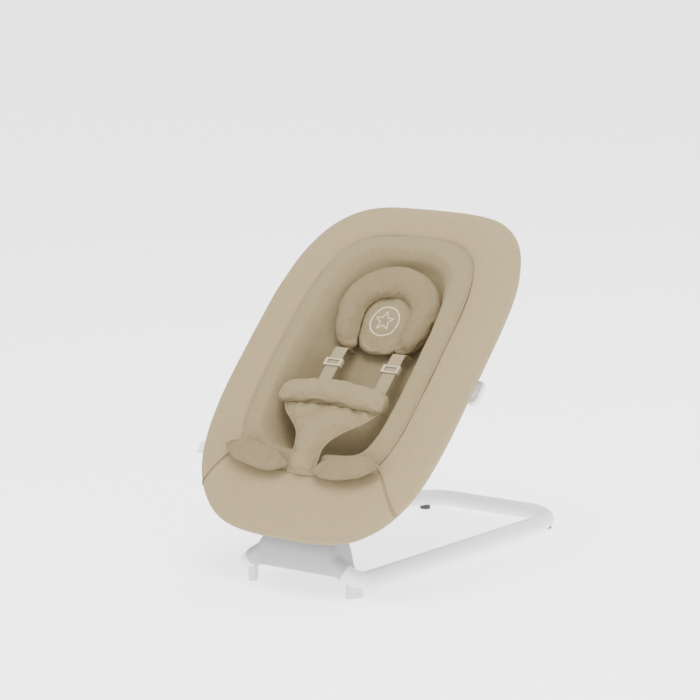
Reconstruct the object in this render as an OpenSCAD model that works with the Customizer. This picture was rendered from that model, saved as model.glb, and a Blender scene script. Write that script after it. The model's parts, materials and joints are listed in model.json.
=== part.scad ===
// Bouncer seat: a padded reclining seat on a low tube base.
// Millimetres. +Z is up, the seat faces -Y, and the origin is on the floor under the
// centre of the whole object.

/* [Base] */
// Diameter of the base tube
tube_d = 28; // [24:1:32]
// Wall of the base tube
tube_wall = 2; // [1.5:0.5:3]
// Length of the base, from the front corners to the middle of the rear bar
base_len = 602; // [540:1:680]
// Half width of the base at its front corners, to the middle of the tube
front_half = 112; // [106:1:124]
// Half width of the base at its rear corners, to the middle of the tube
rear_half = 146; // [130:1:200]
// Bend radius of the rear corners, to the middle of the tube
rear_bend = 66; // [45:1:90]
// Height of the tube's middle at the front corners
front_z = 29; // [26:1:34]
// Height of the tube's middle at the rear bar
rear_z = 20; // [18:1:26]

/* [Hinge] */
// Height of the hinge axle above the floor
pivot_z = 62; // [58:1:66]
// How far the axle stands behind the front corners of the base
pivot_back = 37; // [32:1:42]
// Diameter of the hinge axle
axle_d = 12; // [10:1:13]
// Outer diameter of the bushes on the axle
bush_d = 18; // [17:1:20]
// Radius of the index plates that set the recline positions
index_r = 40; // [37:1:41]
// Angle between two recline positions
recline_step = 10.5; // [8:0.5:11]

/* [Seat] */
// Overall width of the seat
seat_w = 452; // [400:1:560]
// Overall length of the seat, from lip to top
seat_len = 660; // [600:1:800]
// Tilt of the seat at its most upright position
tilt = 45; // [40:1:50]
// Depth of the seat at its deepest, below its edge line
seat_depth = 100; // [84:1:120]
// Diameter of the seat's frame tube
frame_d = 16; // [12:1:18]
// Thickness of the moulded seat shell
shell_t = 4; // [3:0.5:6]
// Thickness of the cover's padding inside the seat
cover_t = 9; // [7:0.5:11]
// Thickness of the newborn liner's floor
liner_t = 12; // [9:0.5:16]

/* [Harness] */
// Width of the webbing
strap_w = 25; // [20:1:30]
// Thickness of the webbing
strap_t = 1.6; // [1.2:0.1:2.4]
// Distance of each shoulder strap from the middle of the seat
strap_x = 57; // [50:1:64]
// Width of the belly bar
bar_w = 204; // [170:1:220]

/* [Hidden] */

$fn = 72;
fit = 0.05;      // running clearance on a radius
gap = 0.5;       // clearance between neighbouring pieces
ring_n = 64;     // points round each seat outline
tube_r = tube_d / 2;
frame_r = frame_d / 2;

// ---------- seat outline and depth ----------
half_w = seat_w / 2;
half_l = seat_len / 2;
lip_u = -30;                     // where the seat starts, along the seat, from the axle
mid_u = lip_u + half_l;
edge_m = 114;                    // height of the seat's edge line over the axle
lip_drop = 32;                   // how much lower the edge line is at the lip
top_drop = 16;                   // and at the top
crown_u = lip_u + 0.424 * seat_len;
deep_u = 170;                    // where the seat is deepest
back_slope = 0.17;
pan_slope = 0.20;
square_top = 3.65;               // roundness of the outline's top corners
square_lip = 3.45;               // and of the lip's corners
apron = 40;                      // how much wider the padded band is at the lip
curl_from = 7;                   // under this far down, the lip curls back under the seat
lip_curve = 2.6;

function sgn(v) = v < 0 ? -1 : 1;
function edge_at(u) = u < crown_u
    ? edge_m - lip_drop * pow(min(1.1, (crown_u - u) / (crown_u - lip_u)), lip_curve)
    : edge_m - top_drop * pow((u - crown_u) / (lip_u + seat_len - crown_u), 2);
function depth_at(u) = u > deep_u
    ? seat_depth - back_slope * (u - deep_u)
    : seat_depth - pan_slope * (deep_u - u);
function squareness(a) = sin(a) > 0 ? square_top : square_lip;
function round_x(a) = sgn(cos(a)) * pow(abs(cos(a)), 2 / squareness(a));
function round_u(a) = sgn(sin(a)) * pow(abs(sin(a)), 2 / squareness(a));
function lip_share(a) = pow(max(0, -sin(a)), 2);
function apron_at(inset, a) = apron * lip_share(a) * min(1, max(0, (inset - 6) / 40));
// how far a point of the seat's outer side hangs down, and how much it curls in at the lip
function hang(v, a) = v[1] < -curl_from
    ? -curl_from + (v[1] + curl_from) * (1 - 0.45 * lip_share(a)) : v[1];
function curl(v, a) = 10 * lip_share(a) * min(1, max(0, (-curl_from - v[1]) / 24))
    * (v[0] < 10.6 ? 1 : 0);

// A point of the seat. v = [inset from the outline, rise over the edge line,
// share of the depth, rise over the floor]
function seat_u(v, a) =
    mid_u + (half_l - v[0] - apron_at(v[0], a) - curl(v, a)) * round_u(a);
function seat_point(v, a) =
    let (u = seat_u(v, a), rise = v[0] < 10.6 ? hang(v, a)
             : v[0] > 72 && v[1] > 2 ? v[1] * (1 - 0.7 * lip_share(a)) : v[1])
    [(half_w - v[0]) * round_x(a), u,
     edge_at(u) + rise * (1 - v[2]) + v[2] * (v[3] - depth_at(u))];
function seat_ring(v) = [for (i = [0 : ring_n - 1]) seat_point(v, 360 * (i + 0.5) / ring_n)];
// height of a layer over the middle of the floor

// ---------- placing ----------
front_y = 0;
pivot_y = front_y + pivot_back;
rear_y = front_y + base_len;
lip_y = pivot_y + cos(tilt) * lip_u - sin(tilt) * edge_at(lip_u);
mid_y = (rear_y + tube_r + lip_y) / 2;

module centred() {
    translate([0, -mid_y, 0]) children();
}
// the seat's own frame: x across, y from the axle up along the seat, z out of its face
module on_seat() {
    translate([0, pivot_y - mid_y, pivot_z]) rotate([tilt, 0, 0]) children();
}
module on_axle() {
    translate([0, pivot_y - mid_y, pivot_z]) children();
}
module both_sides() {
    children();
    mirror([1, 0, 0]) children();
}

// ---------- shared shapes ----------
function unit(v) = v / norm(v);

// solid through a list of rings, with the ends closed by fans
module loft(rings) {
    n = len(rings[0]);
    k = len(rings);
    pts = [for (r = rings) for (p = r) p];
    first_c = sum_points(rings[0]) / n;
    last_c = sum_points(rings[k - 1]) / n;
    all_pts = concat(pts, [first_c, last_c]);
    sides = [for (j = [0 : k - 2]) for (i = [0 : n - 1])
        let (a = j * n + i, b = j * n + (i + 1) % n)
        each [[a, b, b + n], [a, b + n, a + n]]];
    first_cap = [for (i = [0 : n - 1]) [k * n, (i + 1) % n, i]];
    last_cap = [for (i = [0 : n - 1]) [k * n + 1, (k - 1) * n + i, (k - 1) * n + (i + 1) % n]];
    polyhedron(all_pts, concat(sides, first_cap, last_cap), convexity = 6);
}
function sum_points(r, i = 0) = i == len(r) ? [0, 0, 0] : r[i] + sum_points(r, i + 1);

// endless loop of rings, such as a frame tube bent into an oval
module endless(rings) {
    n = len(rings[0]);
    k = len(rings);
    pts = [for (r = rings) for (p = r) p];
    faces = [for (j = [0 : k - 1]) for (i = [0 : n - 1])
        let (a = j * n + i, b = j * n + (i + 1) % n, c = ((j + 1) % k) * n + i,
             d = ((j + 1) % k) * n + (i + 1) % n)
        each [[a, b, d], [a, d, c]]];
    polyhedron(pts, faces, convexity = 6);
}

// layer of the seat: its upper face from the middle outwards, then its lower face back
module seat_layer(upper, lower) {
    loft([for (v = concat(upper, lower)) seat_ring(v)]);
}

// puffed pad: outline half sizes a and b, thickness t, squareness n
module puffed_pad(a, b, t, n) {
    levels = [[0.86, 0], [0.97, 0.16], [1, 0.36], [0.97, 0.58], [0.86, 0.80], [0.62, 0.94],
              [0.25, 1]];
    loft([for (v = [for (k = [len(levels) - 1 : -1 : 0]) levels[k]])
        [for (i = [0 : 35]) let (w = 10 * i)
            [a * v[0] * sgn(cos(w)) * pow(abs(cos(w)), 2 / n),
             b * v[0] * sgn(sin(w)) * pow(abs(sin(w)), 2 / n), t * v[1]]]]);
}

// coil spring of mean radius r, wire radius w, standing on z = 0
module coil(r, w, h, turns) {
    steps = 10 * turns;
    loft([for (j = [steps : -1 : 0])
        let (a = 360 * j / 10, z = w + (h - 2 * w) * j / steps)
        [for (i = [0 : 5]) let (b = 60 * i)
            [(r + w * cos(b)) * cos(a), (r + w * cos(b)) * sin(a), z + w * sin(b)]]]);
}

// rigid frame whose z runs along d
module aim(d) {
    z = unit(d);
    h = abs(z[2]) > 0.9 ? [1, 0, 0] : [0, 0, 1];
    x = unit(cross(h, z));
    y = cross(z, x);
    multmatrix([[x[0], y[0], z[0], 0], [x[1], y[1], z[1], 0], [x[2], y[2], z[2], 0],
                [0, 0, 0, 1]]) children();
}
// straight rod from a to b
module rod(a, b, r) {
    translate(a) aim(b - a) cylinder(r = r, h = norm(b - a));
}
// bend at corner p, arriving along d and leaving along e, with radius bend
module bent_rod(p, d, e, bend, r) {
    turn = acos(d * e);
    n = unit(e - (e * d) * d);
    c = p - bend * tan(turn / 2) * d + bend * n;
    z = cross(-n, d);
    multmatrix([[-n[0], d[0], z[0], c[0]], [-n[1], d[1], z[1], c[1]],
                [-n[2], d[2], z[2], c[2]], [0, 0, 0, 1]])
        rotate_extrude(angle = turn) translate([bend, 0]) circle(r = r);
}

// ---------- base ----------
riser_dir = unit([-0.83, 0.10, 0.545]);       // from a front corner up into the bridge
front_bend = 34;
front_corner = [front_half, front_y, front_z];
rear_corner = [rear_half, rear_y, rear_z];
side_dir = unit(rear_corner - front_corner);
rear_turn = acos(side_dir * [-1, 0, 0]);
rear_tangent = rear_bend * tan(rear_turn / 2);
front_turn = acos(-side_dir * riser_dir);
front_reach = front_bend * tan(front_turn / 2);
plug_l = 12;
seam = front_corner + (front_reach + plug_l + 2) * riser_dir;

module base_side(r) {
    rod(front_corner + front_reach * riser_dir, seam, r);
    bent_rod(front_corner, -side_dir, riser_dir, front_bend, r);
    rod(front_corner + front_reach * side_dir, rear_corner - rear_tangent * side_dir, r);
    bent_rod(rear_corner, side_dir, [-1, 0, 0], rear_bend, r);
}
// points of the bend at corner p
function bend_points(p, d, e, bend, n) =
    let (turn = acos(d * e), m = unit(e - (e * d) * d),
         c = p - bend * tan(turn / 2) * d + bend * m)
    [for (i = [0 : n]) c - bend * cos(turn * i / n) * m + bend * sin(turn * i / n) * d];
base_right = concat([seam], bend_points(front_corner, -riser_dir, side_dir, front_bend, 9),
                    bend_points(rear_corner, side_dir, [-1, 0, 0], rear_bend, 9));
base_path = concat(base_right, [for (i = [len(base_right) - 1 : -1 : 0])
    [-base_right[i][0], base_right[i][1], base_right[i][2]]]);
function path_ring(path, i, r, n) =
    let (t = unit(path[min(len(path) - 1, i + 1)] - path[max(0, i - 1)]),
         e = unit(cross(t, [0, 0, 1])), f = cross(e, t))
    [for (k = [0 : n - 1]) path[i] + r * (cos(360 * k / n) * e + sin(360 * k / n) * f)];
module base_tube() {
    n = 28;
    last = len(base_path) - 1;
    color("gainsboro") centred() endless(concat(
        [for (i = [0 : last]) path_ring(base_path, i, tube_r, n)],
        [for (i = [last : -1 : 0]) path_ring(base_path, i, tube_r - tube_wall, n)]));
}

foot_w = 13;
foot_l = 28;
module front_foot() {
    spot = front_corner + 0.62 * front_reach * (unit(riser_dir + side_dir));
    color("silver") centred() difference() {
        translate([spot[0], spot[1], 0]) rotate([0, 0, -24])
            translate([-foot_w / 2, -foot_l / 2, 0]) cube([foot_w, foot_l, front_z]);
        base_side(tube_r);
    }
}
module front_foot_right() { front_foot(); }
module front_foot_left() { mirror([1, 0, 0]) front_foot(); }

// small rubber pads under the rear corners
pad_r = 9;
module rear_pad() {
    spot = [rear_half - 0.3 * rear_bend, rear_y - 0.3 * rear_bend];
    color("dimgray") centred() difference() {
        translate([spot[0], spot[1], 0]) cylinder(r1 = pad_r, r2 = pad_r + 2, h = rear_z - 6);
        base_side(tube_r);
    }
}
module rear_pad_right() { rear_pad(); }
module rear_pad_left() { mirror([1, 0, 0]) rear_pad(); }

// screws up through the sides of the tube into the feet's end of the bridge
screw_r = 4;
module tube_screws() {
    color("dimgray") centred() both_sides() {
        translate([front_corner[0] + 3, front_y + 60, front_z - tube_r - 1.5])
            cylinder(r = screw_r, h = 2.2);
        translate([front_corner[0] + 6, front_y + 120, front_z - tube_r - 1.7])
            cylinder(r = screw_r, h = 2.2);
    }
}

// ---------- bridge between the front corners ----------
bridge_low = 37;                 // height of its bottom edge
bridge_low_w = 95;               // half width there
bridge_high = 106;
bridge_high_w = 60;
bridge_back = pivot_y + 14;
bridge_front = -12;
wall = 3;

// front view of the bridge, shrunk by s
module bridge_front_view(s) {
    offset_w = s * 1.12;
    polygon([[-bridge_low_w + offset_w, bridge_low + s - 0.01],
             [bridge_low_w - offset_w, bridge_low + s - 0.01],
             [bridge_high_w - offset_w, bridge_high], [-bridge_high_w + offset_w, bridge_high]]);
}
// side view of the bridge, drawn in towards its middle by s
bridge_mid = [20, 70];
function drawn_in(p, s) = bridge_mid + (p - bridge_mid) * (1 - s / 36);
module bridge_side_view(s) {
    outline = [[bridge_front, bridge_low], [bridge_front + 1, bridge_low + 17],
        [bridge_front + 5, bridge_low + 35], [bridge_front + 14, bridge_low + 52],
        [bridge_front + 27, bridge_low + 63], [bridge_front + 43, bridge_high - 0.6],
        [bridge_back - 6, bridge_high - 0.6], [bridge_back, bridge_high - 3],
        [bridge_back, bridge_low + 35], [bridge_back - 13, bridge_low]];
    polygon([for (p = outline) drawn_in(p, s)]);
}
module bridge_body(s) {
    intersection() {
        translate([0, 120, 0]) rotate([90, 0, 0]) linear_extrude(160) bridge_front_view(s);
        rotate([90, 0, 90]) translate([0, 0, -130]) linear_extrude(260) bridge_side_view(s);
    }
}
// the inside of the bridge is open to the back and below
module bridge_inside() {
    bridge_body(wall);
    translate([-bridge_low_w + 4 * wall, bridge_front + 3 * wall, bridge_low - 1])
        cube([2 * bridge_low_w - 8 * wall, bridge_back - bridge_front, 12]);
    translate([-bridge_high_w - 3 * wall, bridge_back - 3 * wall, bridge_low + 2])
        cube([2 * bridge_high_w + 6 * wall, bridge_back, bridge_high - bridge_low]);
    translate([-cheek_x - 14, bridge_back - 15 - 3 * wall, bridge_low + 1])
        cube([2 * cheek_x + 28, bridge_back, 38]);
}
module bridge_cover() {
    color("lightsteelblue") centred() difference() {
        bridge_body(0);
        bridge_inside();
        both_sides() rod(front_corner, seam + 10 * riser_dir, tube_r + 3.5);
        both_sides() bent_rod(front_corner, -side_dir, riser_dir, front_bend, tube_r + 1.5);
    }
}

cheek_x = 58;                    // inner face of the axle cheeks
cheek_t = 6;
deck_z = bridge_low + wall + 0.5;
deck_t = 5;
module bridge_chassis() {
    color("slategray") centred() difference() {
        union() {
            both_sides() {
                // cheek that holds the axle
                translate([cheek_x, pivot_y, pivot_z]) rotate([0, 90, 0])
                    cylinder(r = 17, h = cheek_t);
                translate([cheek_x, pivot_y - 17, deck_z]) cube([cheek_t, 28, pivot_z - deck_z]);
                // plug in the end of the base tube, and the block that carries it
                rod(seam - plug_l * riser_dir, seam + riser_dir, tube_r - tube_wall - 4 * fit);
                rod(seam + 0.2 * riser_dir, seam + 7 * riser_dir, tube_r);
                translate([cheek_x - 6, 0, deck_z]) cube([9, pivot_y - 14, 20]);
            }
            translate([-cheek_x, 2, deck_z]) cube([2 * cheek_x, bridge_back - 6, deck_t]);
        }
        on_chassis_axle() cylinder(r = axle_d / 2, h = 200, center = true);
    }
}
module on_chassis_axle() {
    translate([0, pivot_y, pivot_z]) rotate([0, 90, 0]) children();
}

module hinge_axle() {
    color("silver") centred() on_chassis_axle()
        cylinder(r = axle_d / 2, h = 2 * (cheek_x + cheek_t + 5), center = true);
}
clip_t = 2;
module axle_clips() {
    color("dimgray") centred() both_sides() on_chassis_axle() difference() {
        translate([0, 0, cheek_x + cheek_t]) cylinder(r = axle_d / 2 + 3, h = clip_t);
        cylinder(r = axle_d / 2, h = 200, center = true);
    }
}
module bounce_springs() {
    color("silver") both_sides() on_axle() translate([45, 0, 0]) rotate([0, 90, 0])
        coil(axle_d / 2 + 3.2, 1.4, 12, 3);
}

// ---------- bounce carrier ----------
sleeve_r = bush_d / 2 + 2;
plate_x = 23;
plate_t = 6;
arm_x = 32;
arm_t = 6;
module carrier() {
    color("darkgray") on_axle() rotate([0, 90, 0]) difference() {
        union() {
            cylinder(r = sleeve_r, h = 2 * (arm_x + arm_t + 3), center = true);
            cylinder(r = sleeve_r + 4, h = 2 * plate_x, center = true);
        }
        cylinder(r = axle_d / 2 + fit, h = 120, center = true);
    }
}
// half discs whose rims carry the notches of the three positions
module index_plates() {
    color("silver") both_sides() on_axle() rotate([0, 90, 0]) difference() {
        translate([0, 0, plate_x]) cylinder(r = index_r, h = plate_t);
        cylinder(r = sleeve_r, h = 120, center = true);
        translate([sleeve_r + 2, -60, 0]) cube([60, 120, 60]);
        for (k = [0 : 2]) rotate([0, 0, 90 + tilt - k * recline_step])
            translate([index_r + 1, 0, plate_x - 1]) cylinder(r = 2.4, h = plate_t + 2);
    }
}

// ---------- seat bracket ----------
bracket_m = edge_m - seat_depth - 36;
bracket_t = 5;
bracket_u0 = 92;
bracket_u1 = 200;
bracket_w = 60;
pin_x = plate_x + plate_t / 2;
pin_r = 4;
pin_tip = index_r + 5 * gap;
pin_len = 24;
collar_r = 5.5;
guide_u = pin_tip + 4;
stop_u = pin_tip + pin_len + 20;
arm_r = bush_d / 2 + 7;
module arm_plate() {
    rotate([90, 0, 90]) linear_extrude(arm_t) difference() {
        union() {
            circle(r = arm_r);
            polygon([[0, arm_r], [bracket_u0 + 16, 8], [bracket_u0 + 16, bracket_m],
                     [0, -arm_r]]);
        }
        circle(r = sleeve_r + 2.5);
    }
}
module seat_bracket() {
    color("slategray") on_seat() difference() {
        union() {
            both_sides() {
                translate([arm_x, 0, 0]) arm_plate();
                // guide and back stop of the lock pin
                translate([pin_x - 8, guide_u, -9]) cube([arm_x - pin_x + 9, 10, 18]);
                translate([pin_x - 8, stop_u, -9]) cube([arm_x - pin_x + 9, 5, 18]);
            }
            translate([-bracket_w, bracket_u0, bracket_m])
                cube([2 * bracket_w, bracket_u1 - bracket_u0, bracket_t]);
        }
        both_sides() {
            translate([pin_x, 0, 0]) rotate([-90, 0, 0]) {
                cylinder(r = pin_r + fit, h = stop_u - 4);
                cylinder(r = 2, h = stop_u + 40);
            }
        }
    }
}
module arm_bushes() {
    color("ivory") both_sides() on_seat() rotate([0, 90, 0]) difference() {
        translate([0, 0, arm_x]) cylinder(r = sleeve_r + 2.5, h = arm_t);
        cylinder(r = sleeve_r + fit, h = 120, center = true);
    }
}
module lock_pin(side) {
    color("silver") on_seat() translate([side * pin_x, pin_tip, 0]) rotate([-90, 0, 0]) {
        cylinder(r = pin_r, h = pin_len);
        translate([0, 0, 16]) cylinder(r = collar_r, h = pin_len - 16);
    }
}
module lock_pin_right() { lock_pin(1); }
module lock_pin_left() { lock_pin(-1); }
module lock_spring(side) {
    color("silver") on_seat()
        translate([side * pin_x, pin_tip + pin_len + gap, 0]) rotate([-90, 0, 0])
        coil(4.6, 0.8, stop_u - pin_tip - pin_len - 2 * gap, 5);
}
module lock_spring_right() { lock_spring(1); }
module lock_spring_left() { lock_spring(-1); }
module bracket_screws() {
    color("dimgray") on_seat() both_sides()
        for (u = [bracket_u0 + 30, bracket_u1 - 14])
            translate([bracket_w - 12, u, bracket_m - 3]) cylinder(r = 5, h = 3);
}

// ---------- seat frame, shell and cover ----------
tube_inset = 17;
tube_rise = -11;
module seat_frame() {
    n = 16;
    color("silver") on_seat() endless([for (i = [0 : ring_n - 1])
        let (a = 360 * (i + 0.5) / ring_n, v = [tube_inset, tube_rise, 0, 0],
             c = seat_point(v, a),
             t = unit(seat_point(v, a + 0.4) - seat_point(v, a - 0.4)),
             e = unit([t[1], -t[0], 0]), f = cross(e, t))
        [for (k = [0 : n - 1]) let (b = 360 * k / n)
            c + frame_r * (cos(b) * e + sin(b) * f)]]);
}

// the layers' lists, in [inset, rise over the edge line, share of depth, rise over floor]
cover_upper = [[212, 0, 1, 0], [170, 0, 1, 0], [135, 0, 1, 0], [110, 0, 0.92, 0],
    [94, 0, 0.72, 0], [84, 0, 0.42, 0], [77, 0, 0.14, 0], [70, 2.5, 0, 0], [58, 6, 0, 0],
    [42, 8, 0, 0], [26, 7, 0, 0], [13, 3.5, 0, 0], [4, -1, 0, 0], [0, -8, 0, 0],
    [1.5, -19, 0, 0], [6.5, -30, 0, 0]];
cover_lower = [[10, -31, 0, 0], [7.4, -19, 0, 0], [6, -10, 0, 0], [8.5, -5, 0, 0],
    [14, -2, 0, 0], [26, -1.8, 0, 0], [45, -1.8, 0, 0], [59, -4, 0, 0],
    [67, -8, 0.14, -cover_t], [74, -8, 0.42, -cover_t], [84, -8, 0.72, -cover_t],
    [101, -8, 0.92, -cover_t], [131, -8, 1, -cover_t], [168, -8, 1, -cover_t],
    [210, -8, 1, -cover_t]];
shell_f = -cover_t - 1.8;
shell_upper = [[208, 0, 1, shell_f], [168, 0, 1, shell_f], [130, 0, 1, shell_f],
    [99, -9, 0.92, shell_f], [82, -9, 0.72, shell_f], [72, -9, 0.42, shell_f],
    [65, -9, 0.14, shell_f], [57, -7.4, 0, 0], [45, -5, 0, 0], [34, -5.4, 0, 0],
    [28, -10, 0, 0], [25.6, -19.4, 0, 0], [20, -19.4, 0, 0]];
shell_lower = [[20, -23.2, 0, 0], [29, -23.2, 0, 0], [31.6, -13, 0, 0], [37, -9.2, 0, 0],
    [45, -8.8, 0, 0], [54, -11.4, 0, 0], [60.5, -14, 0.14, shell_f - shell_t],
    [68, -13, 0.42, shell_f - shell_t], [78.6, -13, 0.72, shell_f - shell_t],
    [96, -13, 0.92, shell_f - shell_t], [129, 0, 1, shell_f - shell_t],
    [167, 0, 1, shell_f - shell_t], [206, 0, 1, shell_f - shell_t]];
module seat_shell() {
    color("gray") on_seat() {
        seat_layer(shell_upper, shell_lower);
        // rails between the shell and the bracket
        for (x = [-1, 1]) difference() {
            translate([x * 48 - 10, bracket_u0 + 20, bracket_m + bracket_t])
                cube([20, bracket_u1 - bracket_u0 - 20, 40]);
            loft([for (v = concat([[206, 90, 0, 0], [61, 60, 0, 0]],
                    [for (k = [6 : -1 : 0]) shell_upper[k] - [0, shell_t / 2, 0, shell_t / 2]]))
                seat_ring(v)]);
        }
    }
}
module outer_cover() {
    color("tan") on_seat() seat_layer(cover_upper, cover_lower);
}
liner_upper = [[212, 0, 1, liner_t], [176, 0, 1, liner_t], [154, 0, 1, liner_t + 2],
    [140, 0, 0.93, liner_t + 4], [130, 0, 0.72, liner_t + 4], [122, 2, 0.42, liner_t],
    [114, 6, 0.16, liner_t], [103, 11, 0, 0], [91, 13, 0, 0], [80, 11, 0, 0],
    [73, 7, 0, 0]];
liner_lower = [[70.8, 3.8, 0, 0], [78, 1.2, 0.14, 1.4], [85.4, 1.2, 0.42, 1.4],
    [95.8, 1.2, 0.72, 1.4], [112, 1.2, 0.92, 1.4], [136, 1.2, 1, 1.4],
    [170, 1.2, 1, 1.4], [211, 1.2, 1, 1.4]];
module newborn_liner() {
    color("wheat") on_seat() seat_layer(liner_upper, liner_lower);
}

// ---------- pads ----------
head_u = 416;
head_m = 95;
head_turn = 7.5;
head_half_w = 97;
head_half_h = 78;
disc_half_w = 58;
disc_half_h = 62;
module on_head(rise) {
    on_seat() translate([0, head_u, head_m + rise]) rotate([head_turn, 0, 0]) children();
}
module head_ring() {
    color("burlywood") difference() {
        on_head(-26) puffed_pad(head_half_w, head_half_h, 38, 3.2);
        on_head(-27) translate([0, -14, 0]) linear_extrude(60)
            scale([disc_half_w + gap, disc_half_h + gap]) circle(r = 1);
        on_head(-27) translate([-disc_half_w + 14, -head_half_h - 1, 0])
            cube([2 * disc_half_w - 28, head_half_h - 20, 60]);
    }
}
module head_disc() {
    color("moccasin") on_head(-24) translate([0, -14, 0])
        puffed_pad(disc_half_w - 1, disc_half_h - 1, 24, 2);
}

bar_u = 223;
bar_m = 132;
bar_bow = 12;
module belly_bar() {
    color("tan") on_seat() loft([for (j = [0 : 14])
        let (s = -1 + 2 * j / 14, x = bar_w / 2 * s,
             k = 0.35 + 0.65 * sqrt(max(0, 1 - pow(abs(s), 5))))
        [for (i = [0 : 23]) let (a = -15 * i)
            [x, bar_u - 6 * s * s + 17 * k * sgn(cos(a)) * pow(abs(cos(a)), 0.8),
             bar_m - bar_bow * s * s + 13 * k * sgn(sin(a)) * pow(abs(sin(a)), 0.8)]]]);
}
// crotch pad: wide under the bar, narrow where it leaves between the legs
crotch_rows = [[76, 25, 112], [90, 25, 118], [104, 25, 122], [116, 25, 124],
    [130, 29, 124], [144, 36, 122], [157, 47, 120], [170, 62, 118], [184, 78, 117], [200, 90, 115]];
module crotch_pad() {
    color("tan") on_seat() loft([for (j = [0 : len(crotch_rows) - 1])
        let (r = crotch_rows[j], k = j == 0 || j == len(crotch_rows) - 1 ? 0.5 : 1)
        [for (i = [0 : 23]) let (a = 15 * i)
            [r[1] * sgn(cos(a)) * pow(abs(cos(a)), 0.7), r[0],
             r[2] + 7 * k * sgn(sin(a)) * pow(abs(sin(a)), 0.8)]]]);
}
module leg_pad() {
    color("burlywood") on_seat() translate([89, 88, 117]) rotate([0, -4, 8])
        puffed_pad(64, 23, 24, 2);
}
module leg_pad_right() { leg_pad(); }
module leg_pad_left() { mirror([1, 0, 0]) leg_pad(); }

// ---------- straps ----------
function side_normal(p, i) =
    let (a = p[max(0, i - 1)], b = p[min(len(p) - 1, i + 1)], d = (b - a) / norm(b - a))
    [-d[1], d[0]];
module ribbon(path, w) {
    over = [for (i = [0 : len(path) - 1]) path[i] + strap_t * side_normal(path, i)];
    linear_extrude(w)
        polygon(concat(path, [for (i = [len(path) - 1 : -1 : 0]) over[i]]));
}
slide_from = [334, 87];
slide_to = [258, 91];
slide_dir = (slide_to - slide_from) / norm(slide_to - slide_from);
module shoulder_straps() {
    color("darkkhaki") on_seat() both_sides()
        translate([strap_x - strap_w / 2, 0, 0]) rotate([90, 0, 90])
            ribbon([[240, 115], [246, 99], slide_to, slide_from, [341, 77], [344, 62]], strap_w);
}
slider_l = 15;
slider_down = 30;
module slider(side) {
    mid = slide_from + slider_down * slide_dir;
    color("linen") on_seat() translate([side * strap_x, mid[0], mid[1]])
        rotate([atan2(slide_dir[1], slide_dir[0]) + 180, 0, 0]) difference() {
            translate([-16.5, -slider_l / 2, -2.6]) cube([33, slider_l, strap_t + 5.2]);
            translate([-strap_w / 2 - 0.7, -slider_l, -0.6])
                cube([strap_w + 1.4, 2 * slider_l, strap_t + 1.2]);
            translate([-strap_w / 2 + 1, -slider_l / 2 + 3, 0])
                cube([strap_w - 2, slider_l - 6, 9]);
        }
}
module slider_right() { slider(1); }
module slider_left() { slider(-1); }
module label_tab() {
    color("white") on_seat() translate([-half_w + 0.4, 90, 99.6]) cube([14.5, 22, 0.8]);
}

// ---------- release triggers ----------
trig_u = 303;
trig_x = half_w - 30;
trig_m = 60;
stem_w = 12;
stem_l = 24;
house_m = 67;
module trigger_housing(side) {
    color("slategray") on_seat() difference() {
        translate([side * trig_x - 12, trig_u - 25, house_m]) cube([24, 50, 22.3]);
        translate([side * trig_x - stem_w / 2 - 0.3, trig_u - stem_l / 2 - 0.3, house_m - 1])
            cube([stem_w + 0.6, stem_l + 0.6, 22]);
    }
}
module trigger_housing_right() { trigger_housing(1); }
module trigger_housing_left() { trigger_housing(-1); }
module trigger(side) {
    color("white") on_seat() {
        translate([side * (trig_x + 11), trig_u, trig_m - 13]) linear_extrude(13)
            hull() for (v = [-13, 13]) translate([0, v]) circle(r = 10);
        translate([side * (trig_x + 4) - 10, trig_u - stem_l / 2, trig_m - 7])
            cube([20, stem_l, 7]);
        translate([side * trig_x - stem_w / 2, trig_u - stem_l / 2, trig_m - 1])
            cube([stem_w, stem_l, 15]);
    }
}
module trigger_right() { trigger(1); }
module trigger_left() { trigger(-1); }
module trigger_spring(side) {
    color("silver") on_seat() translate([side * trig_x, trig_u, trig_m + 14.5])
        coil(4, 0.8, house_m + 21 - trig_m - 15, 4);
}
module trigger_spring_right() { trigger_spring(1); }
module trigger_spring_left() { trigger_spring(-1); }

// cables from the triggers to the lock pins, under the shell
module cord_piece(a, b) {
    translate(a) aim(b - a) cylinder(r = 1.2, h = norm(b - a), $fn = 12);
    translate(b) sphere(r = 1.2, $fn = 12);
}
module release_cables() {
    under = bracket_m - 8;
    p = [[trig_x - 13, trig_u, house_m + 9], [trig_x - 24, trig_u - 6, 62],
         [trig_x - 46, 270, under + 34], [trig_x - 76, 240, under + 8],
         [pin_x, 215, under], [pin_x, 160, under]];
    color("black") on_seat() both_sides()
        for (i = [0 : len(p) - 2]) cord_piece(p[i], p[i + 1]);
}

base_tube();
bridge_cover();
bridge_chassis();
front_foot_left();
front_foot_right();
rear_pad_left();
rear_pad_right();
tube_screws();
hinge_axle();
axle_clips();
bounce_springs();
carrier();
index_plates();
seat_bracket();
arm_bushes();
seat_frame();
seat_shell();
bracket_screws();
outer_cover();
newborn_liner();
head_ring();
head_disc();
belly_bar();
crotch_pad();
leg_pad_left();
leg_pad_right();
shoulder_straps();
label_tab();
trigger_housing_left();
trigger_housing_right();
release_cables();
trigger_left();
trigger_right();
trigger_spring_left();
trigger_spring_right();
lock_pin_left();
lock_pin_right();
lock_spring_left();
lock_spring_right();
slider_left();
slider_right();
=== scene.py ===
"""Bouncer seat: the visual model of the CAD part, in metres and in the CAD's frame.

The seat's own coordinates are x across, u up along the seat from the hinge axle, and m out
of the seat's face. Every soft piece is a numpy surface in those coordinates.
"""
import json
import logging
import math
from dataclasses import dataclass, field
from enum import Enum
from typing import Dict, List, Optional, Sequence, Tuple

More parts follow.
